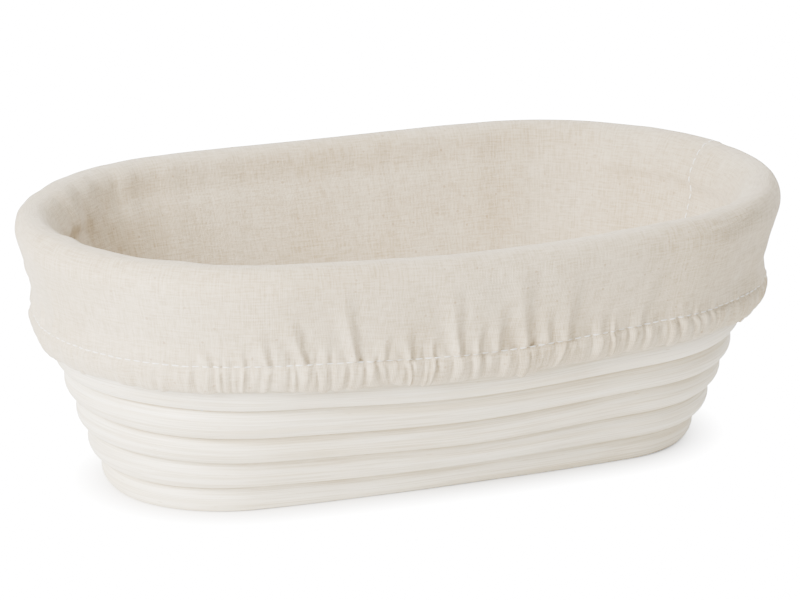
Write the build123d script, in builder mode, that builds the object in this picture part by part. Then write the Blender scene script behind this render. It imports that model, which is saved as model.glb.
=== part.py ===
from build123d import *
import os
from math import atan2, cos, degrees, hypot, radians, sin, sqrt

# An oval proofing basket of coiled cane with a fitted cloth liner.
# Millimetres. +Z is up, X is the long axis, and the origin is the middle of
# the face that the basket stands on.

# ---- driving dimensions: the cane basket ----
COURSES = 9                  # turns of cane in the wall, the lowest one in the base
CANE = 9.8                   # diameter of the round cane
CANE_GAP = 0.1               # between neighbouring courses at the ends of the oval
FOOT_FLAT = 0.25             # how much of the round is sanded off under the base
BASE_HALF_LENGTH = 100.4     # outside of the lowest course
BASE_HALF_WIDTH = 40.8
RIM_HALF_LENGTH = 125.0      # outside of the top course
RIM_HALF_WIDTH = 78.5
LENGTH_BELLY = 0.2           # share of the lean that comes early on the way up
WIDTH_BELLY = 0.27
BELLY_POWER = 3              # how quickly that share of the lean is used up
END_ROUNDNESS = 0.95         # end radius of each oval as a share of its half width
CORE_GAP = 0.3               # between the end of a core cane and the turn around it

# ---- driving dimensions: the joints in the cane ----
SCARF_SLOPE = 18.0           # degrees between the slanted cut and the cane
SCARF_KERF = 0.1
PIN_RADIUS = 0.5
PIN_LENGTH = 8.0
WIRE_RADIUS = 0.45           # staple wire
STAPLE_WIDTH = 7.0           # between the middles of the legs
STAPLE_LEG = 7.0
STAPLE_BEND = 0.9
STAPLE_DEPTH = 4.0           # from the middle of the canes to the staple's back
FIT = 0.02                   # round a staple or a pin in its hole
STAPLES_PER_COURSE = 8
BASE_STAPLES = [6, 6, 4]     # across the grooves of the base, from its edge inwards
CORE_STAPLES = [-30, 0, 30]  # along the middle groove

# ---- driving dimensions: the cloth liner ----
CLOTH = 1.2                  # soft thickness of the gathered cloth
CLOTH_GAP = 0.35             # between the cloth and the cane
FOOT_TUCK = 2.2              # how far the band draws in at its foot
SEAM_GAP = 0.1
WAIST_DROP = 15.0            # a level of the cuff below the middle of the top course
END_WAIST = 2.8              # how far the cuff draws in there, at the ends of the oval
SIDE_WAIST = 4.4             # and on its long sides
END_TAPER = 5.8              # how far the cuff has drawn in at the top of its hem
SIDE_TAPER = 8.8
HEM_TOP = 54.0
HEM_BOTTOM = 45.8
HEM_LEAN = 2.7               # how much further in the hem's edge lies
HEM_THICKNESS = 3.0
ELASTIC_WIDTH = 5.0
ELASTIC_THICKNESS = 1.0
THREAD_RADIUS = 0.3
STITCH_MARGIN = 1.0          # from a row of stitches to the edge beside it
SIDE_SEAM_TURN = 0.025       # the band's own seam, at the end on the right

RADIUS = CANE / 2
PITCH = CANE + CANE_GAP
BASE_HEIGHT = RADIUS - FOOT_FLAT
BASE_PITCHES = 3.5           # from the lowest course to the middle line of the base
BASE_PITCH = (BASE_HALF_WIDTH - RADIUS) / BASE_PITCHES
SAW = 6 * CANE               # a cutting block that is longer than any slanted cut


def oval_arcs(oval):
    """The arcs of a closed four-centre oval, from its +X tip: centre, radius, start, sweep."""
    half_length, half_width, end_radius = oval
    reach = half_length - end_radius
    side_radius = (reach**2 + half_width**2 - end_radius**2) / (2 * (half_width - end_radius))
    drop = side_radius - half_width
    meet = degrees(atan2(drop, reach))
    return [
        ((reach, 0), end_radius, 0, meet),
        ((0, -drop), side_radius, meet, 180 - 2 * meet),
        ((-reach, 0), end_radius, 180 - meet, 2 * meet),
        ((0, drop), side_radius, 180 + meet, 180 - 2 * meet),
        ((reach, 0), end_radius, -meet, meet),
    ]


def draw_oval(oval):
    """Draws the oval in the current line builder."""
    for centre, radius, start, sweep_angle in oval_arcs(oval):
        CenterArc(centre, radius, start, sweep_angle)


def oval_point(oval, turn):
    """The point at a share of the oval's length, and the direction square to it there."""
    arcs = oval_arcs(oval)
    lengths = [radius * radians(sweep_angle) for _, radius, _, sweep_angle in arcs]
    left = turn * sum(lengths)
    for (centre, radius, start, _), length in zip(arcs, lengths):
        if left <= length:
            break
        left -= length
    angle = radians(start) + left / radius
    square = Vector(cos(angle), sin(angle))
    return Vector(*centre) + square * radius, square


def outer_oval(course):
    """Outside of a course, numbered from 0 at the bottom: half sizes and end radius."""
    height = course / (COURSES - 1)
    early = 1 - (1 - height) ** BELLY_POWER
    lengthwise = height + LENGTH_BELLY * (early - height)
    sideways = height + WIDTH_BELLY * (early - height)
    half_length = BASE_HALF_LENGTH + (RIM_HALF_LENGTH - BASE_HALF_LENGTH) * lengthwise
    half_width = BASE_HALF_WIDTH + (RIM_HALF_WIDTH - BASE_HALF_WIDTH) * sideways
    return half_length, half_width, END_ROUNDNESS * half_width


def inset(oval, distance):
    """The oval that lies a distance inside another."""
    return tuple(size - distance for size in oval)


def course_heights():
    """Height of the middle of each course: neighbours touch at the two ends."""
    heights = [BASE_HEIGHT]
    for course in range(1, COURSES):
        lean = outer_oval(course)[0] - outer_oval(course - 1)[0]
        heights.append(heights[-1] + sqrt(PITCH**2 - lean**2))
    return heights


HEIGHTS = course_heights()
RIM_HEIGHT = HEIGHTS[-1]


def turn_plane(oval, height, turn):
    """Plane square to the cane at a share of a turn: x points out, y points up."""
    point, square = oval_point(oval, turn)
    origin = (point.X, point.Y, height)
    return Plane(origin=origin, x_dir=(square.X, square.Y, 0), z_dir=(square.Y, -square.X, 0))


def scarf_turn(course):
    """Share of a turn: always at the back, between two staples, never in line."""
    return (2 + 2 * course % 5) / (2 * STAPLES_PER_COURSE)


# ---- staples and pins, made once and placed many times ----
def draw_staple(wire_radius):
    """One U of wire: its back crosses the groove along y and its legs point to +x."""
    half = STAPLE_WIDTH / 2
    tip = STAPLE_LEG - STAPLE_DEPTH
    corners = [(tip, -half), (-STAPLE_DEPTH, -half), (-STAPLE_DEPTH, half), (tip, half)]
    with BuildPart() as wire:
        with BuildLine(Plane.XY) as shape:
            FilletPolyline(*corners, radius=STAPLE_BEND)
        with BuildSketch(Plane(origin=corners[0], z_dir=(1, 0, 0))):
            Circle(wire_radius)
        sweep(path=shape.wires()[0])
    return wire.part


staple = draw_staple(WIRE_RADIUS)
staple_hole = draw_staple(WIRE_RADIUS + FIT)


def wall_staple_places(lower):
    """Places of the staples between a course and the one above it."""
    places = []
    shift = 0.25 if lower % 2 == 0 else 0.75
    for number in range(STAPLES_PER_COURSE):
        turn = (number + shift) / STAPLES_PER_COURSE
        low, square = oval_point(inset(outer_oval(lower), RADIUS), turn)
        high = oval_point(inset(outer_oval(lower + 1), RADIUS), turn)[0]
        step = high - low
        lean = step.X * square.X + step.Y * square.Y
        rise = HEIGHTS[lower + 1] - HEIGHTS[lower]
        middle = low + square * (lean / 2)
        up = Vector(square.X * lean, square.Y * lean, rise).normalized()
        along = Vector(-square.Y, square.X, 0)
        outward = up.cross(along) * -1
        origin = (middle.X, middle.Y, HEIGHTS[lower] + rise / 2)
        plane = Plane(origin=origin, x_dir=outward, z_dir=outward.cross(up))
        places.append(plane.location)
    return places


def base_staple_places(oval, count):
    """Places of the staples between a flat turn of the base and the turn inside it."""
    places = []
    for number in range(count):
        point, square = oval_point(inset(oval, BASE_PITCH / 2), (number + 0.5) / count)
        origin = (point.X, point.Y, BASE_HEIGHT)
        across = (square.X, square.Y, 0)
        plane = Plane(origin=origin, x_dir=(0, 0, -1), z_dir=Vector(0, 0, -1).cross(Vector(across)))
        places.append(plane.location)
    return places


BASE_TURNS = [inset(outer_oval(0), RADIUS + BASE_PITCH * turn) for turn in range(3)]
wall_places = [wall_staple_places(course) for course in range(COURSES - 1)]
base_places = [base_staple_places(*pair) for pair in zip(BASE_TURNS, BASE_STAPLES)]
core_places = [
    Plane(origin=(x, 0, BASE_HEIGHT), x_dir=(0, 0, -1), z_dir=(1, 0, 0)).location for x in CORE_STAPLES
]


def joint_place(oval, height, turn):
    """Place of a slanted cut: its z axis is square to the cut, and the pin stands along it."""
    return turn_plane(oval, height, turn).rotated((0, 90 - SCARF_SLOPE, 0)).location


def make_turn(oval, height, turn, staple_places):
    """One turn of cane with its slanted joint and the holes of its fasteners."""
    with BuildPart() as cane:
        with BuildLine(Plane.XY.offset(height)) as path:
            draw_oval(oval)
        with BuildSketch(Plane.XZ):
            with Locations((oval[0], height)):
                Circle(RADIUS)
        sweep(path=path.wires()[0])
        if height < RADIUS:
            split(bisect_by=Plane.XY, keep=Keep.TOP)
        with Locations(joint_place(oval, height, turn)):
            Box(SAW, 2 * CANE, SCARF_KERF, mode=Mode.SUBTRACT)
            Cylinder(PIN_RADIUS + FIT, PIN_LENGTH + 2 * FIT, mode=Mode.SUBTRACT)
        with Locations(*staple_places):
            add(staple_hole, mode=Mode.SUBTRACT)
    return cane.part


os.makedirs("parts", exist_ok=True)


def save(part, name):
    part.label = name
    export_step(part, f"parts/{name}.step")


# ---- wall: nine courses of cane ----
pins = []
for course in range(COURSES):
    oval = inset(outer_oval(course), RADIUS)
    near = []
    if course > 0:
        near += wall_places[course - 1]
    else:
        near += base_places[0]
    if course < COURSES - 1:
        near += wall_places[course]
    pins.append(joint_place(oval, HEIGHTS[course], scarf_turn(course)))
    save(make_turn(oval, HEIGHTS[course], scarf_turn(course), near), f"cane_course_{course + 1}")

# ---- base: two flat turns inside the lowest course, and two straight core canes ----
for number in (1, 2):
    oval = BASE_TURNS[number]
    turn = number / BASE_STAPLES[0]
    near = base_places[number - 1] + base_places[number]
    pins.append(joint_place(oval, BASE_HEIGHT, turn))
    save(make_turn(oval, BASE_HEIGHT, turn, near), f"base_turn_{number}")

core_reach = BASE_TURNS[2][0] - BASE_PITCH - CORE_GAP
for side, name in ((-1, "base_core_front"), (1, "base_core_back")):
    with BuildPart() as core:
        with BuildSketch(Plane.YZ.offset(-core_reach)):
            with Locations((side * BASE_PITCH / 2, BASE_HEIGHT)):
                Circle(RADIUS)
        extrude(amount=2 * core_reach)
        with BuildSketch(Plane.XY):
            with BuildLine():
                draw_oval(inset(BASE_TURNS[2], RADIUS + CORE_GAP))
            make_face()
        extrude(amount=CANE, mode=Mode.INTERSECT)
        with Locations(*base_places[2], *core_places):
            add(staple_hole, mode=Mode.SUBTRACT)
    save(core.part, name)

# ---- fasteners, each kind in one node ----
with BuildPart() as wall_staples:
    with Locations(*[place for places in wall_places for place in places]):
        add(staple)
save(wall_staples.part, "wall_staples")

with BuildPart() as base_staples:
    with Locations(*[place for places in base_places + [core_places] for place in places]):
        add(staple)
save(base_staples.part, "base_staples")

with BuildPart() as scarf_pins:
    with Locations(*pins):
        Cylinder(PIN_RADIUS, PIN_LENGTH)
save(scarf_pins.part, "scarf_pins")

FLOOR = BASE_HEIGHT + RADIUS + CLOTH_GAP


def band_levels(depth):
    """Ovals at a depth inside the band's outer face, from its foot up, with their heights."""
    levels = []
    for course in range(1, COURSES):
        lean = outer_oval(course)[1] - outer_oval(course - 1)[1]
        rise = HEIGHTS[course] - HEIGHTS[course - 1]
        slant = hypot(lean, rise) / rise
        reach = RADIUS + (RADIUS + CLOTH_GAP) * slant + depth
        levels.append((inset(outer_oval(course), reach), HEIGHTS[course]))
    foot = inset(levels[0][0], FOOT_TUCK)
    return [(foot, FLOOR)] + levels


# ---- liner: the flat bottom panel ----
panel_oval = inset(band_levels(CLOTH)[0][0], SEAM_GAP)
with BuildPart() as liner_bottom:
    with BuildSketch(Plane.XY.offset(FLOOR)):
        with BuildLine():
            draw_oval(panel_oval)
        make_face()
    extrude(amount=CLOTH)
save(liner_bottom.part, "liner_bottom")


# ---- liner: the band that stands against the inside of the wall ----
def make_ring(outer_levels, inner_levels):
    """A sewn ring of cloth or elastic between two stacks of ovals."""
    with BuildPart() as ring:
        for levels, mode in ((outer_levels, Mode.ADD), (inner_levels, Mode.SUBTRACT)):
            for oval, height in levels:
                with BuildSketch(Plane.XY.offset(height)):
                    with BuildLine():
                        draw_oval(oval)
                    make_face()
            loft(ruled=True, mode=mode)
    return ring.part


save(make_ring(band_levels(0), band_levels(CLOTH)), "liner_band")

# ---- liner: the cuff turned over the rim ----
rim_line = inset(outer_oval(COURSES - 1), RADIUS)
rim_tip = rim_line[0]
roll = RADIUS + CLOTH_GAP
skin = roll + CLOTH


def cuff_oval(end_drop, side_drop, out):
    """An oval of the cuff's inner face, drawn in from the rim, and moved out by a distance."""
    half_length = rim_line[0] + roll - end_drop + out
    half_width = rim_line[1] + roll - side_drop + out
    return half_length, half_width, END_ROUNDNESS * half_width


def cuff_levels(out):
    return [
        (cuff_oval(END_TAPER, SIDE_TAPER, out), HEM_TOP + SEAM_GAP),
        (cuff_oval(END_WAIST, SIDE_WAIST, out), RIM_HEIGHT - WAIST_DROP),
        (inset(rim_line, -roll - out), RIM_HEIGHT),
    ]


def hem_levels(out):
    """The hem leans in with the wall: its top lies under the cuff's foot."""
    return [
        (cuff_oval(END_TAPER + HEM_LEAN, SIDE_TAPER + HEM_LEAN, out), HEM_BOTTOM),
        (cuff_oval(END_TAPER, SIDE_TAPER, out), HEM_TOP),
    ]


cuff_skirt = make_ring(cuff_levels(CLOTH), cuff_levels(0))

with BuildPart() as liner_cuff:
    with BuildLine(Plane.XY.offset(RIM_HEIGHT)) as rim_path:
        draw_oval(rim_line)
    with BuildSketch(Plane.XZ):
        with BuildLine():
            CenterArc((rim_tip, RIM_HEIGHT), roll, 0, 180)
            Line((rim_tip - roll, RIM_HEIGHT), (rim_tip - skin, RIM_HEIGHT))
            CenterArc((rim_tip, RIM_HEIGHT), skin, 0, 180)
            Line((rim_tip + skin, RIM_HEIGHT), (rim_tip + roll, RIM_HEIGHT))
        make_face()
    sweep(path=rim_path.wires()[0])
    add(cuff_skirt)
save(liner_cuff.part, "liner_cuff")

# ---- liner: the hem casing and the elastic inside it ----
tunnel = (HEM_THICKNESS - ELASTIC_THICKNESS) / 2


def elastic_levels(out, half_width):
    """A stretch of the hem's slope, centred between its top and bottom."""
    middle = (HEM_TOP + HEM_BOTTOM) / 2
    levels = []
    for height in (middle - half_width, middle + half_width):
        lean = HEM_LEAN * (HEM_TOP - height) / (HEM_TOP - HEM_BOTTOM)
        levels.append((cuff_oval(END_TAPER + lean, SIDE_TAPER + lean, out), height))
    return levels


with BuildPart() as hem_casing:
    add(make_ring(hem_levels(HEM_THICKNESS), hem_levels(0)))
    add(
        make_ring(
            elastic_levels(tunnel + ELASTIC_THICKNESS + FIT, ELASTIC_WIDTH / 2 + FIT),
            elastic_levels(tunnel - FIT, ELASTIC_WIDTH / 2 + FIT),
        ),
        mode=Mode.SUBTRACT,
    )
save(hem_casing.part, "hem_casing")
save(
    make_ring(
        elastic_levels(tunnel + ELASTIC_THICKNESS, ELASTIC_WIDTH / 2),
        elastic_levels(tunnel, ELASTIC_WIDTH / 2),
    ),
    "hem_elastic",
)


# ---- liner: sewing thread ----
def thread_ring(oval, height):
    with BuildPart() as ring:
        with BuildLine(Plane.XY.offset(height)) as path:
            draw_oval(oval)
        with BuildSketch(Plane.XZ):
            with Locations((oval[0], height)):
                Circle(THREAD_RADIUS)
        sweep(path=path.wires()[0])
    return ring.part


stitch_oval = cuff_oval(END_TAPER, SIDE_TAPER, CLOTH + 3 * THREAD_RADIUS)
save(thread_ring(stitch_oval, HEM_TOP + STITCH_MARGIN), "hem_stitching")
panel_top = FLOOR + CLOTH
save(
    thread_ring(inset(panel_oval, STITCH_MARGIN), panel_top + THREAD_RADIUS + FIT),
    "bottom_seam_stitching",
)

seam_points = []
for oval, height in band_levels(CLOTH + 2 * THREAD_RADIUS)[1:]:
    point = oval_point(oval, SIDE_SEAM_TURN)[0]
    seam_points.append((point.X, point.Y, height))
with BuildPart() as side_seam_stitching:
    with BuildLine() as seam_path:
        Polyline(*seam_points)
    with BuildSketch(Plane(origin=seam_path.line @ 0, z_dir=seam_path.line % 0)):
        Circle(THREAD_RADIUS)
    sweep(path=seam_path.wires()[0], transition=Transition.RIGHT)
save(side_seam_stitching.part, "side_seam_stitching")
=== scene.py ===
import bpy
import numpy as np
from math import atan2, cos, pi, radians, sin
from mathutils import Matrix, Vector


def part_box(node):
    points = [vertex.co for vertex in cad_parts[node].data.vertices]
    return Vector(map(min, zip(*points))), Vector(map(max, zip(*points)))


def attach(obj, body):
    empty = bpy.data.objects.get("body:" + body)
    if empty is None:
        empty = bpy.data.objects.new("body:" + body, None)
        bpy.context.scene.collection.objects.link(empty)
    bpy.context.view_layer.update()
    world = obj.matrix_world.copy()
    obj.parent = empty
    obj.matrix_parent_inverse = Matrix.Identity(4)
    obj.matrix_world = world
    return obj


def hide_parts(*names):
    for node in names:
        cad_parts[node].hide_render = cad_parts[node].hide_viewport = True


# An oval proofing basket of coiled cane with a gathered cloth liner. Metres.

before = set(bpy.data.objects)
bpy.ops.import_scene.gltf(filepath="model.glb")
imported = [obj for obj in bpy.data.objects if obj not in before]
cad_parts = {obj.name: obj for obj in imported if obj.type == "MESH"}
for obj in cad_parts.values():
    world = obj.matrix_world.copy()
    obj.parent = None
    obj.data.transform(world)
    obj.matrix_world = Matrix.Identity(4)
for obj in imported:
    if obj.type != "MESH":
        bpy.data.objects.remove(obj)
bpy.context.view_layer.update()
MM = 0.001
COURSES = 9
BASE_TURNS = 2
END_ROUNDNESS = 0.95         # end radius of a course's oval as a share of its half width

# ---- cane ----
CANE_STEPS = 720             # sections along one turn
CANE_SIDES = 28
SCARF_LENGTH = 32 * MM       # of the slanted joint between a turn's two ends
SCARF_GAP = 0.03 * MM
UNEVEN = 0.45 * MM           # how far the grooves wander along the wall
WOBBLE = 0.25 * MM           # how far a cane bows in and out
WALL_THICKENING = 0.02       # how much a cane's radius varies, as a share
BASE_THICKENING = 0.015
SADDLE = 1.0 * MM            # how far a course sinks in the middle of a long side and rises beyond it
SADDLE_SPAN = 70 * MM        # from the middle of a long side to where the rise levels off
GROOVE_SEED, BOW_SEED, WALL_SEED, BASE_SEED = 40, 60, 80, 100

# ---- cloth ----
COLUMNS = 1500               # round the liner
CLOTH = 0.6 * MM             # from the canes to the drawn surface of the cloth
WALL_GAP = 0.4 * MM          # added to that inside the wall
WEAVE = 0.5 * MM             # pitch of the woven threads
SIDE_TILT = 0.80             # Y share of the outward direction where the long sides begin
SIDE_SHARPNESS = 16          # of the change from the ends to the long sides
WALL_STEPS, RIM_STEPS, HEM_STEPS = 5, 7, 4       # rows between neighbouring stations of the profile
PUCKER = 3.5 * MM            # usual width of a pucker in the hem
SEAM_TURN = 0.025            # place of the side seam, as a share of the way round from +X
SEAM_CREASE = 0.45 * MM      # depth of the crease along the side seam, inside the wall
SEAM_WIDTH = 0.7 * MM
SEAM_ROWS = (8, 3)           # the side seam's stitches run from the first row to so many past the crest
WALL_RIPPLE = 0.25 * MM      # small unevenness of the cloth inside the wall
CUFF_SWAY = 0.45 * MM        # broad unevenness of the cuff
HEM_CRUMPLE = 0.45 * MM      # unevenness that grows towards the stitching
HEM_CRUMPLE_HEIGHT = 26 * MM
PUCKER_DEPTH = 1.0 * MM      # relief of a full pucker
PUCKER_HEIGHT = 2.2 * MM     # how quickly puckers fade above the stitching
PUCKER_DRIFT = 2.6 * MM      # how far puckers wander sideways over the hem
HEM_GRAIN = 0.16 * MM
PANEL_WAVES = (210, 270, 260)            # radians per metre of the bottom panel's unevenness
PANEL_COLUMNS = 240
PANEL_RINGS = 25
PANEL_RIPPLE = 0.25 * MM     # how far the bottom panel is from flat
SEAM_INSET = 0.985           # place of the bottom seam, as a share of the way to the panel's edge
SEAM_LIFT = 0.3 * MM
ELASTIC_CORNERS = [          # how far in from its outer face, and height from its middle
    (0.5 * MM, 2.0 * MM), (1.6 * MM, -1.2 * MM), (2.3 * MM, -1.2 * MM), (1.2 * MM, 2.0 * MM)]

# ---- thread ----
STITCH = 2.5 * MM
STITCH_GAP = 0.7 * MM
STITCH_RINGS = 7
THREAD = 0.2 * MM            # thread radius
THREAD_SIDES = 6

# ---- studio ----
AZIMUTH, ELEVATION = radians(-22.9), radians(16.5)
DISTANCE = 1.413
TARGET = (-0.0008, 0.0, 0.051)
LENS, SENSOR = 198.6, 36     # mm
WORLD_COLOUR = (1.0, 0.965, 0.905)
WORLD_LEFT, WORLD_RIGHT = 1.55, 0.3      # strength of the world's light from either side
LEFTWARD = (-0.92, 0.39, 0)  # towards the brighter side
FLOOR_REACH = 30.0           # far enough for its edge to stay out of sight
FLOOR_GLOW = 18.0            # seen by the camera only, so that the floor is white
CONTACT_DISTANCE = 14 * MM   # the glow fades into a painted contact shadow where something is nearer to the floor than this

rng = np.random.default_rng(12)


# ======== ovals ========
def oval_arcs(size):
    """Arcs of a four-centre oval of half length, half width and end radius, from its +X tip."""
    half_length, half_width, end_radius = size
    reach = half_length - end_radius
    side_radius = (reach**2 + half_width**2 - end_radius**2) / (2 * (half_width - end_radius))
    drop = side_radius - half_width
    meet = atan2(drop, reach)
    return [
        ((reach, 0), end_radius, 0, meet),
        ((0, -drop), side_radius, meet, pi - 2 * meet),
        ((-reach, 0), end_radius, pi - meet, 2 * meet),
        ((0, drop), side_radius, pi + meet, pi - 2 * meet),
        ((reach, 0), end_radius, -meet, meet),
    ]


def oval_length(size):
    return sum(radius * swept for _, radius, _, swept in oval_arcs(size))


def oval_points(size, turns):
    """Points and outward directions at shares of a turn."""
    arcs = oval_arcs(size)
    ends = np.cumsum([radius * swept for _, radius, _, swept in arcs])
    travel = (np.asarray(turns) % 1) * ends[-1]
    which = np.minimum(np.searchsorted(ends, travel), len(arcs) - 1)
    begins = np.concatenate([[0], ends[:-1]])
    centres = np.array([arc[0] for arc in arcs])
    radii = np.array([arc[1] for arc in arcs])
    starts = np.array([arc[2] for arc in arcs])
    angle = starts[which] + (travel - begins[which]) / radii[which]
    outward = np.stack([np.cos(angle), np.sin(angle)], 1)
    return centres[which] + outward * radii[which][:, None], outward


def inset(size, distance):
    return tuple(value - distance for value in size)


def ring_noise(turns, lowest, highest, seed):
    """Smooth noise that closes on itself after a turn, about -1 to 1."""
    dice = np.random.default_rng(seed)
    waves = np.arange(lowest, highest + 1)
    phases = dice.uniform(0, 2 * pi, len(waves))
    sizes = dice.normal(0, 1, len(waves)) / np.sqrt(waves)
    total = (sizes[:, None] * np.sin(2 * pi * waves[:, None] * turns + phases[:, None])).sum(0)
    return total / (1.6 * np.sqrt((sizes**2).sum() / 2))


# ======== the courses, read from the frame ========
def course_outside(number):
    """Outer oval and middle height of a course, numbered from 0 at the bottom."""
    low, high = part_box(f"cane_course_{number + 1}")
    return (high.x, high.y, END_ROUNDNESS * high.y), (low.z + high.z) / 2


RIM_LOW, RIM_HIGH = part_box(f"cane_course_{COURSES}")
RADIUS = (RIM_HIGH.z - RIM_LOW.z) / 2
OUTSIDES = [course_outside(number) for number in range(COURSES)]
LINES = [inset(size, RADIUS) for size, _ in OUTSIDES]
HEIGHTS = [height for _, height in OUTSIDES]
HEIGHTS[0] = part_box("cane_course_1")[1].z - RADIUS
RIM_LINE, RIM_HEIGHT = LINES[-1], HEIGHTS[-1]


def mesh_object(name, points, faces, uvs=None):
    mesh = bpy.data.meshes.new(name)
    mesh.from_pydata(points, [], faces)
    if uvs is not None:
        layer = mesh.uv_layers.new(name="UVMap")
        index = np.zeros(len(mesh.loops), np.int64)
        mesh.loops.foreach_get("vertex_index", index)
        layer.data.foreach_set("uv", np.asarray(uvs, np.float32)[index].ravel())
    mesh.shade_smooth()
    piece = bpy.data.objects.new(name, mesh)
    bpy.context.scene.collection.objects.link(piece)
    return piece


def grid_faces(rows, columns, close_columns):
    """Quads of a grid stored row by row; the last column may join the first."""
    across = np.arange(columns if close_columns else columns - 1)
    up = np.arange(rows - 1)[:, None]
    here = up * columns + across
    beside = up * columns + (across + 1) % columns
    return np.stack([here, beside, beside + columns, here + columns], -1).reshape(-1, 4).tolist()


# ======== cane ========
def saddle(share, points):
    """How far the wall rises or sinks at points, at a share of its height."""
    along = np.clip(np.abs(points[:, 0]) / SADDLE_SPAN, 0, 1)
    grow = min(1, (share / 0.3) ** 0.7)
    rise = (2 - 0.8 * share**6) * along**2 * (3 - 2 * along)
    return SADDLE * grow * (rise - 0.7 + 1.5 * share**6)


def groove_lines(turns):
    """The lines where neighbouring courses touch, with the foot and the crest of the wall."""
    middles = []
    for size, height in zip(LINES, HEIGHTS):
        points, outward = oval_points(size, turns)
        share = (height - HEIGHTS[0]) / (RIM_HEIGHT - HEIGHTS[0])
        middles.append(np.column_stack([points, height + saddle(share, points)]))
    grooves = []
    for number in range(COURSES - 1):
        groove = (middles[number] + middles[number + 1]) / 2
        along = middles[number + 1] - middles[number]
        along /= np.linalg.norm(along, axis=1)[:, None]
        drift = UNEVEN * ring_noise(turns, 1, 9, GROOVE_SEED + number)
        grooves.append(groove + along * drift[:, None])
    foot = 1.5 * middles[0] - 0.5 * middles[1]
    crest = 1.5 * middles[-1] - 0.5 * middles[-2]
    return [foot, *grooves, crest]


def cane_tube(name, turns, low, high, outward, radius, length):
    """A cane between two groove lines, cut on a slant where its two ends overlap."""
    middle = (low + high) / 2
    half = (high - low) / 2
    flat = np.column_stack([outward, np.zeros(len(turns))])
    lean = (half * flat).sum(1)
    rise = half[:, 2]
    size = np.hypot(lean, rise)
    square = flat * (rise / size)[:, None]
    square[:, 2] = -lean / size
    angles = np.linspace(0, 2 * pi, CANE_SIDES, endpoint=False)
    across = np.tile(np.cos(angles), (len(turns), 1))
    upward = np.tile(np.sin(angles), (len(turns), 1))
    travel = (turns - turns[0]) * length
    left = travel[-1] - travel
    start_cut = (1 - 2 * np.clip(travel / SCARF_LENGTH, 0, 1))[:, None]
    end_cut = (2 * np.clip(left / SCARF_LENGTH, 0, 1) - 1 - SCARF_GAP / RADIUS)[:, None]
    end_cut = np.where(left[:, None] < SCARF_LENGTH, end_cut, 1)
    for cut, beyond in ((start_cut, across < start_cut), (end_cut, across > end_cut)):
        width = np.sqrt(np.maximum(1 - cut**2, 0))
        upward = np.where(beyond, np.clip(upward, -width, width), upward)
        across = np.where(beyond, cut, across)
    points = middle[:, None, :] + half[:, None, :] * upward[:, :, None]
    points = points + square[:, None, :] * (across * radius[:, None])[:, :, None]
    points[:, :, 2] = np.maximum(points[:, :, 2], 0)
    faces = grid_faces(len(turns), CANE_SIDES, True)
    faces.append(list(range(CANE_SIDES))[::-1])
    last = (len(turns) - 1) * CANE_SIDES
    faces.append([last + side for side in range(CANE_SIDES)])
    round_uv = np.minimum(angles, 2 * pi - angles) * RADIUS
    uvs = np.stack(np.broadcast_arrays(travel[:, None], round_uv[None, :]), -1).reshape(-1, 2)
    return mesh_object(name, points.reshape(-1, 3), faces, uvs)


def cane_turns(joint, length, steps):
    """Shares of a turn along a cane whose two ends overlap in a slanted joint."""
    overlap = SCARF_LENGTH / length / 2
    return np.linspace(joint - overlap, joint + 1 + overlap, steps)


def wall_joint(number):
    """Place of a course's joint: across the back, and never above that of the course below."""
    return (2 + 2 * number % 5) / 16


def wall_course(number):
    line = LINES[number]
    length = oval_length(line)
    turns = cane_turns(wall_joint(number), length, CANE_STEPS)
    grooves = groove_lines(turns)
    outward = oval_points(line, turns)[1]
    bow = WOBBLE * ring_noise(turns, 2, 12, BOW_SEED + number)
    shift = np.column_stack([outward * bow[:, None], np.zeros(len(turns))])
    radius = RADIUS * (1 + WALL_THICKENING * ring_noise(turns, 2, 8, WALL_SEED + number))
    low, high = grooves[number] + shift, grooves[number + 1] + shift
    return cane_tube(f"course_{number + 1}_visual", turns, low, high, outward, radius, length)


def base_turn(number):
    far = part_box(f"base_turn_{number}")[1]
    width = far.y - RADIUS
    line = (far.x - RADIUS, width, width - (1 - END_ROUNDNESS) * OUTSIDES[0][0][1])
    length = oval_length(line)
    turns = cane_turns(number / 6, length, CANE_STEPS // 2)
    points, outward = oval_points(line, turns)
    middle = np.column_stack([points, np.full(len(turns), HEIGHTS[0])])
    radius = RADIUS * (1 + BASE_THICKENING * ring_noise(turns, 2, 8, BASE_SEED + number))
    low, high = middle - [0, 0, RADIUS], middle + [0, 0, RADIUS]
    return cane_tube(f"base_turn_{number}_visual", turns, low, high, outward, radius, length)


def make_canes(material):
    pieces = [(wall_course(number), f"cane_course_{number + 1}") for number in range(COURSES)]
    pieces += [(base_turn(number), f"base_turn_{number}") for number in range(1, BASE_TURNS + 1)]
    for piece, node in pieces:
        piece.data.materials.append(material)
        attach(piece, "basket")
        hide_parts(node)


# ======== cloth ========
HEM_LOW, HEM_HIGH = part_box("hem_casing")
PANEL_LOW, PANEL_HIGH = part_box("liner_bottom")
PANEL_SIZE = (PANEL_HIGH.x, PANEL_HIGH.y, PANEL_HIGH.y * END_ROUNDNESS)
STITCH_HEIGHT = HEM_HIGH.z + 0.5 * MM - RIM_HEIGHT      # from the middle of the top cane, as every
EDGE_HEIGHT = HEM_LOW.z - RIM_HEIGHT                    # height of the cloth is until liner_grid ends
TURNS = np.arange(COLUMNS) / COLUMNS
RIM_LENGTH = oval_length(RIM_LINE)
TRAVEL = TURNS * RIM_LENGTH
RIM_POINTS, RIM_OUTWARD = oval_points(RIM_LINE, TURNS)
# 1 on the long sides, 0 at the ends
SIDE = 1 / (1 + np.exp(-(np.abs(RIM_OUTWARD[:, 1]) - SIDE_TILT) * SIDE_SHARPNESS))


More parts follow.
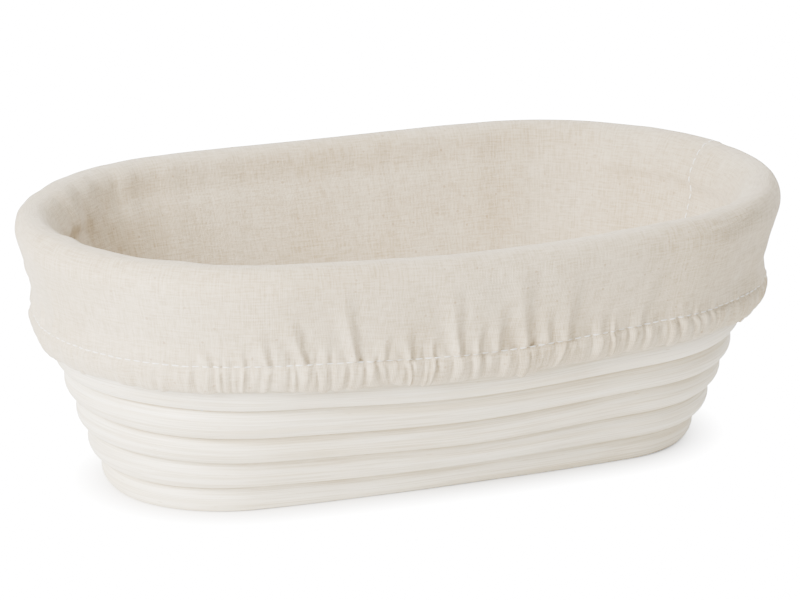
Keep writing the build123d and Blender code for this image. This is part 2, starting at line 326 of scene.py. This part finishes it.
def smooth_curve(knots, places):
    """Catmull-Rom curve through knots that carry any number of columns."""
    knots = np.asarray(knots, float)
    padded = np.concatenate([[2 * knots[0] - knots[1]], knots, [2 * knots[-1] - knots[-2]]])
    which = np.clip(np.floor(places).astype(int), 0, len(knots) - 2)
    step = (places - which).reshape((-1,) + (1,) * (knots.ndim - 1))
    p0, p1, p2, p3 = (padded[which + shift] for shift in range(4))
    return 0.5 * (
        2 * p1
        + (p2 - p0) * step
        + (2 * p0 - 5 * p1 + 4 * p2 - p3) * step**2
        + (3 * p1 - p0 - 3 * p2 + p3) * step**3
    )


def wall_stations():
    """The inside of the liner: ovals and heights from the bottom seam to just under the rim."""
    stations = [(oval_points(PANEL_SIZE, TURNS)[0], PANEL_HIGH.z + 0.2 * MM)]
    for number in range(1, COURSES - 1):
        lean = OUTSIDES[number][0][1] - OUTSIDES[number - 1][0][1]
        rise = HEIGHTS[number] - HEIGHTS[number - 1]
        slant = np.hypot(lean, rise) / rise
        inside = inset(LINES[number], (RADIUS + CLOTH + WALL_GAP) * slant)
        stations.append((oval_points(inside, TURNS)[0], HEIGHTS[number]))
    return stations


# Stations over the rim: its crest, the outside, the foot of the plain cuff, the stitching and the hem's edge
RIM_STATIONS = (3, 5, 10, 12, 16)


def column_profile():
    """Every station's offset from the rim line and height above it, column by column."""
    offsets, heights = [], []
    for points, height in wall_stations():
        offsets.append(((points - RIM_POINTS) * RIM_OUTWARD).sum(1))
        heights.append(np.full(COLUMNS, height - RIM_HEIGHT))
    first_rim = len(offsets)
    skin = RADIUS + CLOTH
    end, side = HEM_HIGH.x - RIM_LINE[0], HEM_HIGH.y - RIM_LINE[1]
    stitch = STITCH_HEIGHT / MM
    edge = EDGE_HEIGHT / MM
    # over the rim and down to the end of the hem: offset at the ends, offset on the sides, height in mm
    rim = [
        (-skin - 4.2 * MM, -skin - 1.0 * MM, -4.5),
        (-skin - 0.9 * MM, -skin * 0.92, 2.4),
        (-skin * 0.58, -skin * 0.5, 5.3),
        (skin * 0.02, skin * 0.05, 5.95),
        (skin * 0.55, skin * 0.55, 5.3),
        (skin * 0.93, skin * 0.93, 2.7),
        (skin + 0.3 * MM, skin + 0.15 * MM, -1.2),
        (4.6 * MM, 4.2 * MM, -5.6),
        (3.1 * MM, 2.4 * MM, -10.4),
        (2.1 * MM, 1.0 * MM, -14.5),
        (1.0 * MM, -0.7 * MM, -19.0),
        (end - 1.2 * MM, side - 1.2 * MM, stitch + 1.5),
        (end - 1.5 * MM, side - 1.5 * MM, stitch),
        (end - 0.8 * MM, side - 0.8 * MM, stitch - 1.6),
        (end - 1.1 * MM, side - 1.1 * MM, stitch - 4.2),
        (end - 2.3 * MM, side - 2.3 * MM, edge + 1.4),
        (end - 3.7 * MM, side - 3.7 * MM, edge),
        (end - 5.2 * MM, side - 5.2 * MM, edge + 1.0),
        (end - 4.7 * MM, side - 4.7 * MM, edge + 3.6),
        (end - 3.1 * MM, side - 3.1 * MM, stitch - 1.0),
    ]
    for at_end, at_side, height in rim:
        offsets.append(at_end + (at_side - at_end) * SIDE)
        heights.append(np.full(COLUMNS, height * MM))
    return np.array(offsets), np.array(heights), first_rim


def pucker_cells():
    """Creases of the gathered hem: wide at the ends of the oval, tight on its sides."""
    creases = [0.0]
    while creases[-1] < RIM_LENGTH:
        side = np.interp(creases[-1], TRAVEL, SIDE)
        creases.append(creases[-1] + PUCKER * rng.uniform(0.4, 1.9) * (1.4 - 0.4 * side))
    creases = np.array(creases[:-1])
    return creases * (RIM_LENGTH / (creases[-1] + PUCKER))


CREASES = pucker_cells()
CELL_SIZE = rng.uniform(0.1, 1.0, len(CREASES)) ** 0.8
CELL_TREND = rng.uniform(-1.1, 1.1, len(CREASES))
CELL_SKEW = rng.uniform(0.7, 1.5, len(CREASES))


def puckers(travel, down):
    """Ridges between sharp creases, 0 to about 1.2, at a distance round and a share down the hem."""
    travel = travel % RIM_LENGTH
    cell = np.searchsorted(CREASES, travel, side="right") - 1
    begin = CREASES[cell]
    end = np.append(CREASES[1:], RIM_LENGTH)[cell]
    share = np.clip((travel - begin) / (end - begin), 0, 1) ** CELL_SKEW[cell]
    size = CELL_SIZE[cell] * (1 + CELL_TREND[cell] * (down - 0.5))
    return np.maximum(size, 0) * np.abs(np.sin(pi * share)) ** 0.7


# Long folds over the hem on the front: place along X, height, lean at the top, width, depth, all in mm
FRONT_FOLDS = [
    (-104, 8, -4, 1.2, 0.7),
    (-88, 11, -7, 1.1, 1.1),
    (-79, 8, -3, 1.0, 0.8),
    (-72, 15, -5, 1.1, 1.3),
    (-61, 18, -7, 1.3, 2.0),
    (-54, 9, -2, 1.0, 1.0),
    (-45, 26, -7, 1.4, 2.1),
    (-36, 10, -1, 1.0, 1.1),
    (-28, 12, -2, 1.1, 1.3),
    (-21, 8, 1, 0.9, 0.9),
    (-12, 25, -5, 1.3, 1.8),
    (-6, 11, 0, 1.0, 1.1),
    (1, 17, 0, 1.2, 1.4),
    (11, 30, -7, 1.9, 2.1),
    (18, 13, -2, 1.1, 1.1),
    (25, 23, -2, 1.7, 1.3),
    (36, 13, 0, 1.6, 0.8),
    (51, 20, 3, 1.8, 0.7),
    (66, 10, 2, 1.3, 0.5),
]


def long_folds():
    """Place round the rim, height, lean, width and depth of every long fold over the hem."""
    folds = []
    front = RIM_POINTS[:, 1] < 0
    order = np.argsort(RIM_POINTS[front, 0])
    for along, height, lean, width, depth in FRONT_FOLDS:
        place = np.interp(along * MM, RIM_POINTS[front, 0][order], TRAVEL[front][order])
        folds.append((place, height * MM, lean * MM, width * MM, depth * MM))
    dice = np.random.default_rng(5)
    place = 0.0
    while place < RIM_LENGTH * 0.5:
        place += dice.uniform(6, 15) * MM
        side = np.interp(place, TRAVEL, SIDE)
        depth = dice.uniform(0.7, 1.8) * (0.45 + 0.55 * side)
        folds.append((place, dice.uniform(8, 26) * MM, dice.uniform(-7, 5) * MM,
                      dice.uniform(1.0, 1.8) * MM, depth * MM))
    return folds


FOLDS = long_folds()


def fold_relief(above):
    """Relief of the long folds at a height above the stitching: a ridge between a crease and a shoulder."""
    relief = np.zeros(COLUMNS)
    for place, height, lean, width, depth in FOLDS:
        rise = np.clip(above / height, 0, 1)
        fade = (1 - rise) ** 1.1 * min(1.0, 0.45 + above / (2.5 * MM))
        middle = place + lean * rise**1.1
        wide = width * (1 + 1.7 * rise)
        gap = (TRAVEL - middle + RIM_LENGTH / 2) % RIM_LENGTH - RIM_LENGTH / 2
        ridge = np.exp(-np.abs(gap / (0.85 * wide)) ** 1.7)
        crease = np.exp(-((gap - 1.45 * wide) / (0.6 * wide)) ** 2)
        shoulder = np.exp(-((gap + 1.9 * wide) / (0.9 * wide)) ** 2)
        relief += depth * fade * (0.85 * ridge - 0.55 * crease - 0.25 * shoulder)
    return relief


def clear_of_canes(offset, height, outside):
    """Moves cloth off the canes that it would sink into, inside or outside the wall."""
    reach = RADIUS + CLOTH
    for course in range(COURSES):
        points, outward = oval_points(LINES[course], TURNS)
        middle = ((points - RIM_POINTS) * RIM_OUTWARD).sum(1)
        share = (HEIGHTS[course] - HEIGHTS[0]) / (RIM_HEIGHT - HEIGHTS[0])
        level = HEIGHTS[course] - RIM_HEIGHT + saddle(share, points)
        chord = np.sqrt(np.maximum(reach**2 - (height - level) ** 2, 0))
        near = np.abs(height - level) < reach
        if outside:
            offset = np.where(near, np.maximum(offset, middle + chord), offset)
        else:
            offset = np.where(near, np.minimum(offset, middle - chord), offset)
    return offset


GATHER = 0.55 + 0.45 * SIDE              # the ends are gathered less than the long sides
MIDDLING = ring_noise(TURNS, 6, 22, 1)
RIPPLE = ring_noise(TURNS, 10, 40, 2)
SWAY = ring_noise(TURNS, 3, 14, 3)
CREASING = ring_noise(TURNS, 14, 44, 4)
DRIFT = ring_noise(TURNS, 4, 30, 5)


def inside_relief(share):
    """Soft folds and the side seam inside the wall; share is how free the cloth is."""
    folds = CREASING * (0.55 + 0.45 * MIDDLING) + 0.9 * SWAY
    folds = np.maximum(folds, -0.3) * (1.35 - 0.95 * SIDE) * MM
    seam = np.exp(-((TRAVEL - SEAM_TURN * RIM_LENGTH) / SEAM_WIDTH) ** 2)
    return SEAM_CREASE * seam - share * (folds + WALL_RIPPLE * np.abs(RIPPLE))


def cuff_relief(above):
    """Long folds and the tops of the puckers on the cuff, at a height above the stitching."""
    grow = np.clip(1 - above / HEM_CRUMPLE_HEIGHT, 0, 1)
    tops = PUCKER_DEPTH * np.exp(-above / PUCKER_HEIGHT) * puckers(TRAVEL + 0.25 * above * DRIFT, 0)
    return fold_relief(above) + GATHER * (HEM_CRUMPLE * grow * RIPPLE + tops)


def hem_relief(down, turned_in):
    """Swelling, bare puckers and rise of the gathered hem, at a share down from the stitching."""
    swell = -0.2 if turned_in else 0.45 + 0.85 * np.sin(pi * min(1, down * 1.15))
    bulge = PUCKER_DEPTH * GATHER * puckers(TRAVEL + (down - 0.2) * PUCKER_DRIFT * DRIFT, down)
    grain = HEM_GRAIN * ring_noise(TURNS + 0.002 * down, 90, 230, 9)
    return swell * (bulge + grain) - 0.1 * MM, bulge, 0.3 * MM * RIPPLE * down


def liner_grid():
    """Points of the whole sewn sheet, row by row from the bottom seam to the end of the hem."""
    offsets, heights, first_rim = column_profile()
    crest, outside, foot, stitching, edge = (first_rim + station for station in RIM_STATIONS)
    last = len(offsets) - 1
    places = []
    for station in range(last):
        steps = WALL_STEPS if station < first_rim else RIM_STEPS if station < foot else HEM_STEPS
        places += list(station + np.arange(steps) / steps)
    places = np.array(places + [last])
    offset = smooth_curve(offsets, places)
    height = smooth_curve(heights, places)
    for row, place in enumerate(places):
        above = height[row].mean() - STITCH_HEIGHT
        if place < outside:
            # the bottom seam and the rim hold the cloth, and it is free between them
            share = min(place / (first_rim + 1), (outside + 0.5 - place) / 3.5, 1)
            offset[row] += inside_relief(max(share, 0))
        else:
            offset[row] += CUFF_SWAY * (0.6 * SWAY + 0.4 * MIDDLING)
        if outside <= place < stitching:
            offset[row] += cuff_relief(above)
        elif place >= stitching:
            down = np.clip((place - stitching) / (edge - stitching), 0, 1)
            swell, bulge, rise = hem_relief(down, place > edge)
            offset[row] += swell
            height[row] += rise - 0.75 * bulge * down * (place <= edge + 1)
        share = np.clip(1 + height[row].mean() / (RIM_HEIGHT - HEIGHTS[0]), 0, 1)
        height[row] += saddle(share, RIM_POINTS)
        offset[row] = clear_of_canes(offset[row], height[row], place >= crest)
    points = RIM_POINTS[None, :, :] + RIM_OUTWARD[None, :, :] * offset[:, :, None]
    points = np.concatenate([points, (RIM_HEIGHT + height)[:, :, None]], 2)
    return points, int(np.argmin(np.abs(places - stitching)))


def make_liner(material):
    """The sewn sheet, its stitching line, its side seam, its flat size and its area."""
    points, stitch_row = liner_grid()
    rows = len(points)
    steps = np.linalg.norm(np.diff(points, axis=0), axis=2).mean(1)
    along = np.concatenate([[0], np.cumsum(steps)])
    closed = np.concatenate([points, points[:, :1]], 1)
    uvs = np.stack(np.broadcast_arrays(np.append(TRAVEL, RIM_LENGTH)[None, :], along[:, None]), -1)
    piece = mesh_object("liner_cloth", closed.reshape(-1, 3), grid_faces(rows, COLUMNS + 1, False),
                        uvs.reshape(-1, 2))
    piece.data.materials.append(material)
    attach(piece, "liner")
    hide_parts("liner_band", "liner_cuff", "hem_casing")
    girth = np.linalg.norm(np.diff(closed, axis=1), axis=2).sum(1)
    area = float((steps * (girth[1:] + girth[:-1]) / 2).sum())
    column = round(SEAM_TURN * COLUMNS)
    rim_row = int(np.argmax(points[:, column, 2]))
    seam = points[SEAM_ROWS[0]:rim_row + SEAM_ROWS[1], column]
    upward = np.gradient(seam, axis=0)
    away = np.column_stack([
        -RIM_OUTWARD[column, 0] * upward[:, 2],
        -RIM_OUTWARD[column, 1] * upward[:, 2],
        np.hypot(upward[:, 0], upward[:, 1]),
    ])
    away /= np.linalg.norm(away, axis=1)[:, None]
    return piece, points[stitch_row], (seam, away), (float(girth.max()), float(along[-1])), area


def make_elastic(material):
    """The flat elastic inside the hem, which rises and sinks with the wall."""
    low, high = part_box("hem_elastic")
    end, side = high.x - RIM_LINE[0], high.y - RIM_LINE[1]
    outer = end + (side - end) * SIDE
    level = (low.z + high.z) / 2
    share = (level - HEIGHTS[0]) / (RIM_HEIGHT - HEIGHTS[0])
    rows = []
    for drawn_in, height in ELASTIC_CORNERS:
        place = RIM_POINTS + RIM_OUTWARD * (outer - drawn_in)[:, None]
        rows.append(np.column_stack([place, level + height + saddle(share, RIM_POINTS)]))
    points = np.array(rows + rows[:1])
    piece = mesh_object("elastic", points.reshape(-1, 3), grid_faces(len(points), COLUMNS, True))
    piece.data.materials.append(material)
    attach(piece, "liner")
    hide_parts("hem_elastic")


def thread_rings(line, radius):
    """Rings of points round a short line of points."""
    line = np.asarray(line, float)
    along = np.gradient(line, axis=0)
    along /= np.linalg.norm(along, axis=1)[:, None]
    side = np.cross(along, [0, 0, 1.0])
    side /= np.linalg.norm(side, axis=1)[:, None] + 1e-12
    over = np.cross(side, along)
    angles = np.linspace(0, 2 * pi, THREAD_SIDES, endpoint=False)[None, :, None]
    ring = np.cos(angles) * side[:, None, :] + np.sin(angles) * over[:, None, :]
    return line[:, None, :] + ring * radius[:, None, None]


def make_stitches(name, line, outward, node, material, closed=True):
    """A run of separate stitches that follow the cloth and dip into it at their ends."""
    if closed:
        line = np.concatenate([line, line[:1]])
        outward = np.concatenate([outward, outward[:1]])
    travel = np.concatenate([[0], np.cumsum(np.linalg.norm(np.diff(line, axis=0), axis=1))])
    count = int(travel[-1] / (STITCH + STITCH_GAP))
    pitch = travel[-1] / count
    points, faces = [], []
    tube = grid_faces(STITCH_RINGS, THREAD_SIDES, True)
    share = np.linspace(0, 1, STITCH_RINGS)
    lift = THREAD * (1.3 * np.sin(pi * share) ** 0.6 - 0.5)
    radius = THREAD * (0.35 + 0.65 * np.sin(pi * share) ** 0.4)
    for number in range(count):
        at = (number + 0.5) * pitch + (share - 0.5) * STITCH
        middle = np.stack([np.interp(at, travel, line[:, axis]) for axis in range(3)], 1)
        away = np.stack([np.interp(at, travel, outward[:, axis]) for axis in range(3)], 1)
        rings = thread_rings(middle + away * lift[:, None], radius)
        first = len(points)
        points += rings.reshape(-1, 3).tolist()
        faces += [[corner + first for corner in face] for face in tube]
    piece = mesh_object(name, points, faces)
    piece.data.materials.append(material)
    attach(piece, "liner")
    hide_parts(node)
    return piece


# ======== materials ========
class Nodes:
    """Short names for building a material's nodes."""

    def __init__(self, name):
        self.material = bpy.data.materials.new(name)
        self.material.use_nodes = True
        self.tree = self.material.node_tree
        self.shader = self.tree.nodes["Principled BSDF"]

    def add(self, kind, **settings):
        node = self.tree.nodes.new(kind)
        for key, value in settings.items():
            setattr(node, key, value)
        return node

    def link(self, source, target):
        self.tree.links.new(source, target)

    def place(self, source, stretch):
        mapping = self.add("ShaderNodeMapping")
        mapping.inputs["Scale"].default_value = stretch
        self.link(source, mapping.inputs["Vector"])
        return mapping.outputs["Vector"]

    def noise(self, place, scale, detail, roughness=0.5):
        node = self.add("ShaderNodeTexNoise")
        node.inputs["Scale"].default_value = scale
        node.inputs["Detail"].default_value = detail
        node.inputs["Roughness"].default_value = roughness
        self.link(place, node.inputs["Vector"])
        return node.outputs["Fac"]

    def ramp(self, source, stops):
        node = self.add("ShaderNodeValToRGB")
        while len(node.color_ramp.elements) < len(stops):
            node.color_ramp.elements.new(0.5)
        for element, (position, colour) in zip(node.color_ramp.elements, stops):
            element.position = position
            element.color = (*colour, 1)
        self.link(source, node.inputs["Fac"])
        return node.outputs["Color"]

    def mix(self, factor, first, second, blend="MIX"):
        node = self.add("ShaderNodeMix", data_type="RGBA", blend_type=blend)
        for value, socket in ((factor, node.inputs[0]), (first, node.inputs[6]), (second, node.inputs[7])):
            if isinstance(value, bpy.types.NodeSocket):
                self.link(value, socket)
            elif isinstance(value, tuple):
                socket.default_value = (*value, 1)
            else:
                socket.default_value = value
        return node.outputs[2]

    def math(self, operation, first, second=0.0):
        node = self.add("ShaderNodeMath", operation=operation)
        for value, socket in ((first, node.inputs[0]), (second, node.inputs[1])):
            if isinstance(value, bpy.types.NodeSocket):
                self.link(value, socket)
            else:
                socket.default_value = value
        return node.outputs[0]

    def bump(self, height, distance, strength):
        node = self.add("ShaderNodeBump")
        node.inputs["Strength"].default_value = strength
        node.inputs["Distance"].default_value = distance
        self.link(height, node.inputs["Height"])
        self.link(node.outputs["Normal"], self.shader.inputs["Normal"])


def cane_material(name, use_uv):
    """Bleached peeled rattan: fine fibres along the cane, a few darker streaks and pores, and, with UVs,
    painted shade along the grooves where neighbouring canes touch.
    """
    n = Nodes(name)
    if use_uv:
        base = n.add("ShaderNodeUVMap", uv_map="UVMap").outputs["UV"]
    else:
        base = n.add("ShaderNodeTexCoord").outputs["Object"]
    which = n.add("ShaderNodeObjectInfo").outputs["Random"]
    shifted = n.add("ShaderNodeVectorMath", operation="ADD")
    n.link(base, shifted.inputs[0])
    n.link(n.math("MULTIPLY", which, 3.0), shifted.inputs[1])
    place = shifted.outputs[0]
    fibres = n.noise(n.place(place, (35, 2600, 2600)), 1, 4, 0.6)
    strands = n.noise(n.place(place, (9, 620, 620)), 1, 3)
    patches = n.noise(n.place(place, (14, 60, 60)), 1, 3)
    tone = n.ramp(strands, [
        (0.34, (0.70, 0.615, 0.45)), (0.5, (0.82, 0.76, 0.625)), (0.68, (0.89, 0.85, 0.745))])
    warm = n.ramp(patches, [(0.4, (0.77, 0.69, 0.53)), (0.6, (0.87, 0.825, 0.71))])
    colour = n.mix(0.4, tone, warm)
    fine = n.ramp(fibres, [(0.40, (0.66, 0.61, 0.52)), (0.54, (1, 1, 1))])
    colour = n.mix(0.6, colour, fine, "MULTIPLY")
    pores = n.noise(n.place(place, (160, 1500, 1500)), 1, 2)
    marks = n.ramp(pores, [(0.70, (1, 1, 1)), (0.76, (0.62, 0.50, 0.36))])
    colour = n.mix(0.5, colour, marks, "MULTIPLY")
    # painted shade: each cane darkens towards the lines where it touches the canes above and below, in the
    # grooves
    if use_uv:
        around = n.add("ShaderNodeSeparateXYZ")
        n.link(base, around.inputs[0])
        quarter = n.math("ABSOLUTE", n.math("SUBTRACT", around.outputs[1], RADIUS * pi / 2))
        groove = n.ramp(n.math("DIVIDE", quarter, RADIUS), [(0.08, (0.40, 0.30, 0.17)), (0.4, (1, 1, 1))])
        colour = n.mix(0.85, colour, groove, "MULTIPLY")
    n.link(colour, n.shader.inputs["Base Color"])
    n.shader.inputs["Roughness"].default_value = 0.46
    n.shader.inputs["Specular IOR Level"].default_value = 0.35
    n.shader.inputs["Subsurface Weight"].default_value = 0.08
    n.shader.inputs["Subsurface Radius"].default_value = (0.004, 0.003, 0.002)
    n.shader.inputs["Subsurface Scale"].default_value = 0.5
    relief = n.math("ADD", n.math("MULTIPLY", fibres, 0.35), strands)
    n.bump(relief, 0.12 * MM, 0.8)
    return n.material


def cloth_material():
    """Unbleached cotton and linen: a plain weave with thick threads and small dark flecks."""
    n = Nodes("liner cloth")
    place = n.add("ShaderNodeUVMap", uv_map="UVMap").outputs["UV"]
    scale = 2 * pi / (20 * WEAVE)
    threads = []
    for direction in ("X", "Y"):
        wave = n.add("ShaderNodeTexWave", bands_direction=direction)
        wave.inputs["Scale"].default_value = scale
        wave.inputs["Distortion"].default_value = 1.2
        wave.inputs["Detail"].default_value = 1.5
        wave.inputs["Detail Scale"].default_value = 0.35
        n.link(place, wave.inputs["Vector"])
        threads.append(wave.outputs["Fac"])
    weave = n.math("MULTIPLY", threads[0], threads[1])
    across = n.noise(n.place(place, (170, 1700, 1)), 1, 3, 0.65)
    upward = n.noise(n.place(place, (1700, 170, 1)), 1, 3, 0.65)
    slubs = n.math("MULTIPLY", n.math("ADD", across, upward), 0.5)
    patches = n.noise(n.place(place, (28, 28, 1)), 1, 4)
    tone = n.ramp(slubs, [
        (0.40, (0.33, 0.255, 0.155)), (0.5, (0.55, 0.465, 0.33)), (0.6, (0.70, 0.62, 0.48))])
    warm = n.ramp(patches, [(0.38, (0.52, 0.43, 0.29)), (0.62, (0.62, 0.535, 0.395))])
    colour = n.mix(0.5, tone, warm)
    gaps = n.ramp(weave, [(0.0, (0.80, 0.78, 0.75)), (0.45, (1, 1, 1))])
    colour = n.mix(0.55, colour, gaps, "MULTIPLY")
    cells = n.add("ShaderNodeTexVoronoi")
    cells.inputs["Scale"].default_value = 260
    n.link(place, cells.inputs["Vector"])
    near = n.math("LESS_THAN", cells.outputs["Distance"], 0.12)
    chosen = n.add("ShaderNodeSeparateColor")
    n.link(cells.outputs["Color"], chosen.inputs["Color"])
    fleck = n.math("MULTIPLY", near, n.math("GREATER_THAN", chosen.outputs[0], 0.55))
    colour = n.mix(n.math("MULTIPLY", fleck, 0.55), colour, (0.30, 0.21, 0.13))
    n.link(colour, n.shader.inputs["Base Color"])
    n.shader.inputs["Roughness"].default_value = 0.92
    n.shader.inputs["Specular IOR Level"].default_value = 0.15
    n.shader.inputs["Sheen Weight"].default_value = 0.25
    n.shader.inputs["Sheen Roughness"].default_value = 0.5
    relief = n.math("ADD", n.math("MULTIPLY", weave, 0.6), slubs)
    n.bump(relief, 0.22 * MM, 0.75)
    return n.material


def plain_material(name, colour, roughness, grain, metallic=0.0):
    """One colour with faint darker specks and a fine grain."""
    n = Nodes(name)
    place = n.add("ShaderNodeTexCoord").outputs["Object"]
    speck = n.noise(place, 900, 3)
    dark = tuple(value * 0.82 for value in colour)
    n.link(n.ramp(speck, [(0.35, dark), (0.6, colour)]), n.shader.inputs["Base Color"])
    n.shader.inputs["Roughness"].default_value = roughness
    n.shader.inputs["Metallic"].default_value = metallic
    n.bump(speck, grain, 0.6)
    return n.material


cane = cane_material("cane", True)
cloth = cloth_material()
thread = plain_material("thread", (0.90, 0.885, 0.84), 0.8, 0.05 * MM)
steel = plain_material("galvanised wire", (0.62, 0.63, 0.64), 0.42, 0.02 * MM, metallic=1.0)
elastic = plain_material("elastic", (0.86, 0.85, 0.82), 0.85, 0.15 * MM)
straight_cane = cane_material("straight cane", False)


def dress(node, material):
    """Gives a carried-over CAD node its material."""
    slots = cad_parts[node].data.materials
    slots.clear()
    slots.append(material)


for node in ("wall_staples", "base_staples", "scarf_pins"):
    dress(node, steel)
for node in ("base_core_front", "base_core_back"):
    dress(node, straight_cane)

make_canes(cane)
make_elastic(elastic)
liner, stitch_line, side_seam, liner_flat, liner_area = make_liner(cloth)
rim_away = np.column_stack([RIM_OUTWARD, np.zeros(COLUMNS)])
hem_thread = make_stitches("hem_stitches", stitch_line, rim_away, "hem_stitching", thread)
side_thread = make_stitches("side_seam_stitches", *side_seam, "side_seam_stitching", thread, closed=False)


# ======== bottom panel and its seam ========
def make_panel(material):
    """The bottom panel, laid on the base canes, a little uneven, and the line of its seam."""
    edge, _ = oval_points(PANEL_SIZE, np.arange(PANEL_COLUMNS) / PANEL_COLUMNS)
    level = (PANEL_LOW.z + PANEL_HIGH.z) / 2
    points = [[0, 0, level]]
    for share in np.linspace(0.0, 1, PANEL_RINGS + 1)[1:]:
        ring = edge * share
        wave = np.sin(ring @ PANEL_WAVES[:2]) * np.sin(ring[:, 1] * PANEL_WAVES[2])
        points += np.column_stack([ring, level + PANEL_RIPPLE * wave * (1 - share**4)]).tolist()
    faces = [[0, 1 + index, 1 + (index + 1) % PANEL_COLUMNS] for index in range(PANEL_COLUMNS)]
    rings = grid_faces(PANEL_RINGS, PANEL_COLUMNS, True)
    faces += [[corner + 1 for corner in face[::-1]] for face in rings]
    uvs = np.array(points)[:, :2]
    piece = mesh_object("liner_bottom_panel", points, faces, uvs)
    piece.data.materials.append(material)
    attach(piece, "liner")
    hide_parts("liner_bottom")
    line = np.column_stack([edge * SEAM_INSET, np.full(PANEL_COLUMNS, level + SEAM_LIFT)])
    return piece, line


panel, seam_line = make_panel(cloth)
seam_away = np.tile([0, 0, 1.0], (len(seam_line), 1))
seam_thread = make_stitches("bottom_seam_stitches", seam_line, seam_away, "bottom_seam_stitching", thread)


# ======== studio ========
def look_at(thing, target):
    away = Vector(target) - thing.location
    thing.rotation_euler = away.to_track_quat("-Z", "Y").to_euler()


def make_camera():
    data = bpy.data.cameras.new("camera")
    data.lens = LENS
    data.sensor_width = SENSOR
    data.clip_start, data.clip_end = 0.01, 50
    camera = bpy.data.objects.new("camera", data)
    bpy.context.scene.collection.objects.link(camera)
    back = Vector((sin(AZIMUTH) * cos(ELEVATION), -cos(AZIMUTH) * cos(ELEVATION), sin(ELEVATION)))
    camera.location = Vector(TARGET) + back * DISTANCE
    look_at(camera, TARGET)
    bpy.context.scene.camera = camera


def area_light(name, place, size, power, colour=(1, 1, 1)):
    """A square lamp of a size in metres and a power in watts, turned to the basket."""
    data = bpy.data.lights.new(name, "AREA")
    data.shape = "RECTANGLE"
    data.size = data.size_y = size
    data.energy = power
    data.color = colour
    light = bpy.data.objects.new(name, data)
    bpy.context.scene.collection.objects.link(light)
    light.location = place
    look_at(light, (0, 0, 0.05))


def make_world():
    """A soft white room that is brighter on the left than on the right."""
    world = bpy.data.worlds.new("studio")
    world.use_nodes = True
    nodes, links = world.node_tree.nodes, world.node_tree.links
    coordinates = nodes.new("ShaderNodeTexCoord")
    leftward = nodes.new("ShaderNodeVectorMath")
    leftward.operation = "DOT_PRODUCT"
    leftward.inputs[1].default_value = LEFTWARD
    links.new(coordinates.outputs["Generated"], leftward.inputs[0])
    ramp = nodes.new("ShaderNodeMapRange")
    ramp.inputs["From Min"].default_value = -1
    ramp.inputs["To Min"].default_value = WORLD_RIGHT
    ramp.inputs["To Max"].default_value = WORLD_LEFT
    links.new(leftward.outputs["Value"], ramp.inputs["Value"])
    links.new(ramp.outputs["Result"], nodes["Background"].inputs["Strength"])
    nodes["Background"].inputs["Color"].default_value = (*WORLD_COLOUR, 1)
    bpy.context.scene.world = world


def floor_material():
    """White, with a glow for the camera alone, which fades into a painted contact shadow where the basket
    nearly touches it.
    """
    n = Nodes("floor")
    n.shader.inputs["Base Color"].default_value = (0.97, 0.97, 0.97, 1)
    n.shader.inputs["Roughness"].default_value = 0.9
    ray = n.add("ShaderNodeLightPath").outputs["Is Camera Ray"]
    painted_contact_shadow = n.add("ShaderNodeAmbientOcclusion", samples=16)
    painted_contact_shadow.inputs["Distance"].default_value = CONTACT_DISTANCE
    # painted contact shadow: ambient occlusion dims the glow near the basket
    glow = n.math("MULTIPLY", n.math("POWER", painted_contact_shadow.outputs["AO"], 2.0), FLOOR_GLOW)
    n.link(n.math("MULTIPLY", glow, ray), n.shader.inputs["Emission Strength"])
    n.shader.inputs["Emission Color"].default_value = (1, 1, 1, 1)
    return n.material


def make_floor():
    corners = [(x * FLOOR_REACH, y * FLOOR_REACH, 0) for x, y in ((-1, -1), (1, -1), (1, 1), (-1, 1))]
    mesh = bpy.data.meshes.new("floor")
    mesh.from_pydata(corners, [], [(0, 1, 2, 3)])
    mesh.materials.append(floor_material())
    floor = bpy.data.objects.new("floor", mesh)
    bpy.context.scene.collection.objects.link(floor)


make_camera()
area_light("key", (-0.75, -0.36, 0.46), 0.45, 38, (1.0, 0.97, 0.915))
area_light("top", (0.65, 0.35, 0.85), 0.7, 20)
make_world()
make_floor()
